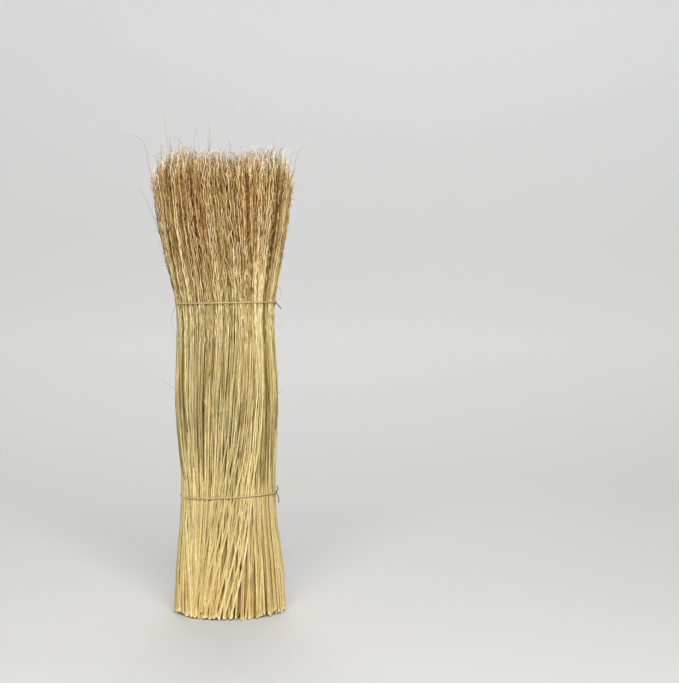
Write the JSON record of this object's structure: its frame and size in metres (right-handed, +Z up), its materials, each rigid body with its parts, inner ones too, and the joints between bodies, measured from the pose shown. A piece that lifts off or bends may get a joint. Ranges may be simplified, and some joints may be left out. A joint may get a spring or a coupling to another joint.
{
  "type": "bunch of broomcorn",
  "caption": "Upright tied bunch of dried broomcorn stalks with flared cut ends, two thin twine ties and a spreading fibre brush at the top.",
  "frame": {"origin": "middle of the foot, on the surface that the cut ends stand on", "axes": "+Z up along the stalks towards the brush, -Y towards the side that the picture shows, +X to that picture's right, where both knots are"},
  "size_m": [0.226, 0.1743, 0.59],
  "materials": {
    "straw": "dry, threshed broom sorghum, satin on the stems and dull on the fibres",
    "twine": "thin twisted natural twine, dull and slightly hairy"
  },
  "bodies": {
    "root": {"inner_stalks": "straw", "lower_tie": "twine", "upper_tie": "twine", "stalk_01": "straw", "stalk_02": "straw", "stalk_03": "straw", "stalk_04": "straw", "stalk_05": "straw", "stalk_06": "straw", "stalk_07": "straw", "stalk_08": "straw", "stalk_09": "straw", "stalk_10": "straw", "stalk_11": "straw", "stalk_12": "straw", "stalk_13": "straw", "stalk_14": "straw", "stalk_15": "straw", "stalk_16": "straw", "stalk_17": "straw", "stalk_18": "straw", "stalk_19": "straw", "stalk_20": "straw", "stalk_21": "straw", "stalk_22": "straw", "stalk_23": "straw", "stalk_24": "straw", "stalk_25": "straw", "stalk_26": "straw", "stalk_27": "straw", "stalk_28": "straw", "stalk_29": "straw", "stalk_30": "straw", "stalk_31": "straw", "stalk_32": "straw", "stalk_33": "straw", "stalk_34": "straw", "stalk_35": "straw", "stalk_36": "straw", "stalk_37": "straw", "stalk_38": "straw", "stalk_39": "straw", "stalk_40": "straw", "stalk_41": "straw", "stalk_42": "straw", "stalk_43": "straw", "stalk_44": "straw", "stalk_45": "straw", "stalk_46": "straw", "stalk_47": "straw", "stalk_48": "straw", "stalk_49": "straw", "stalk_50": "straw"}
  },
  "joints": []
}
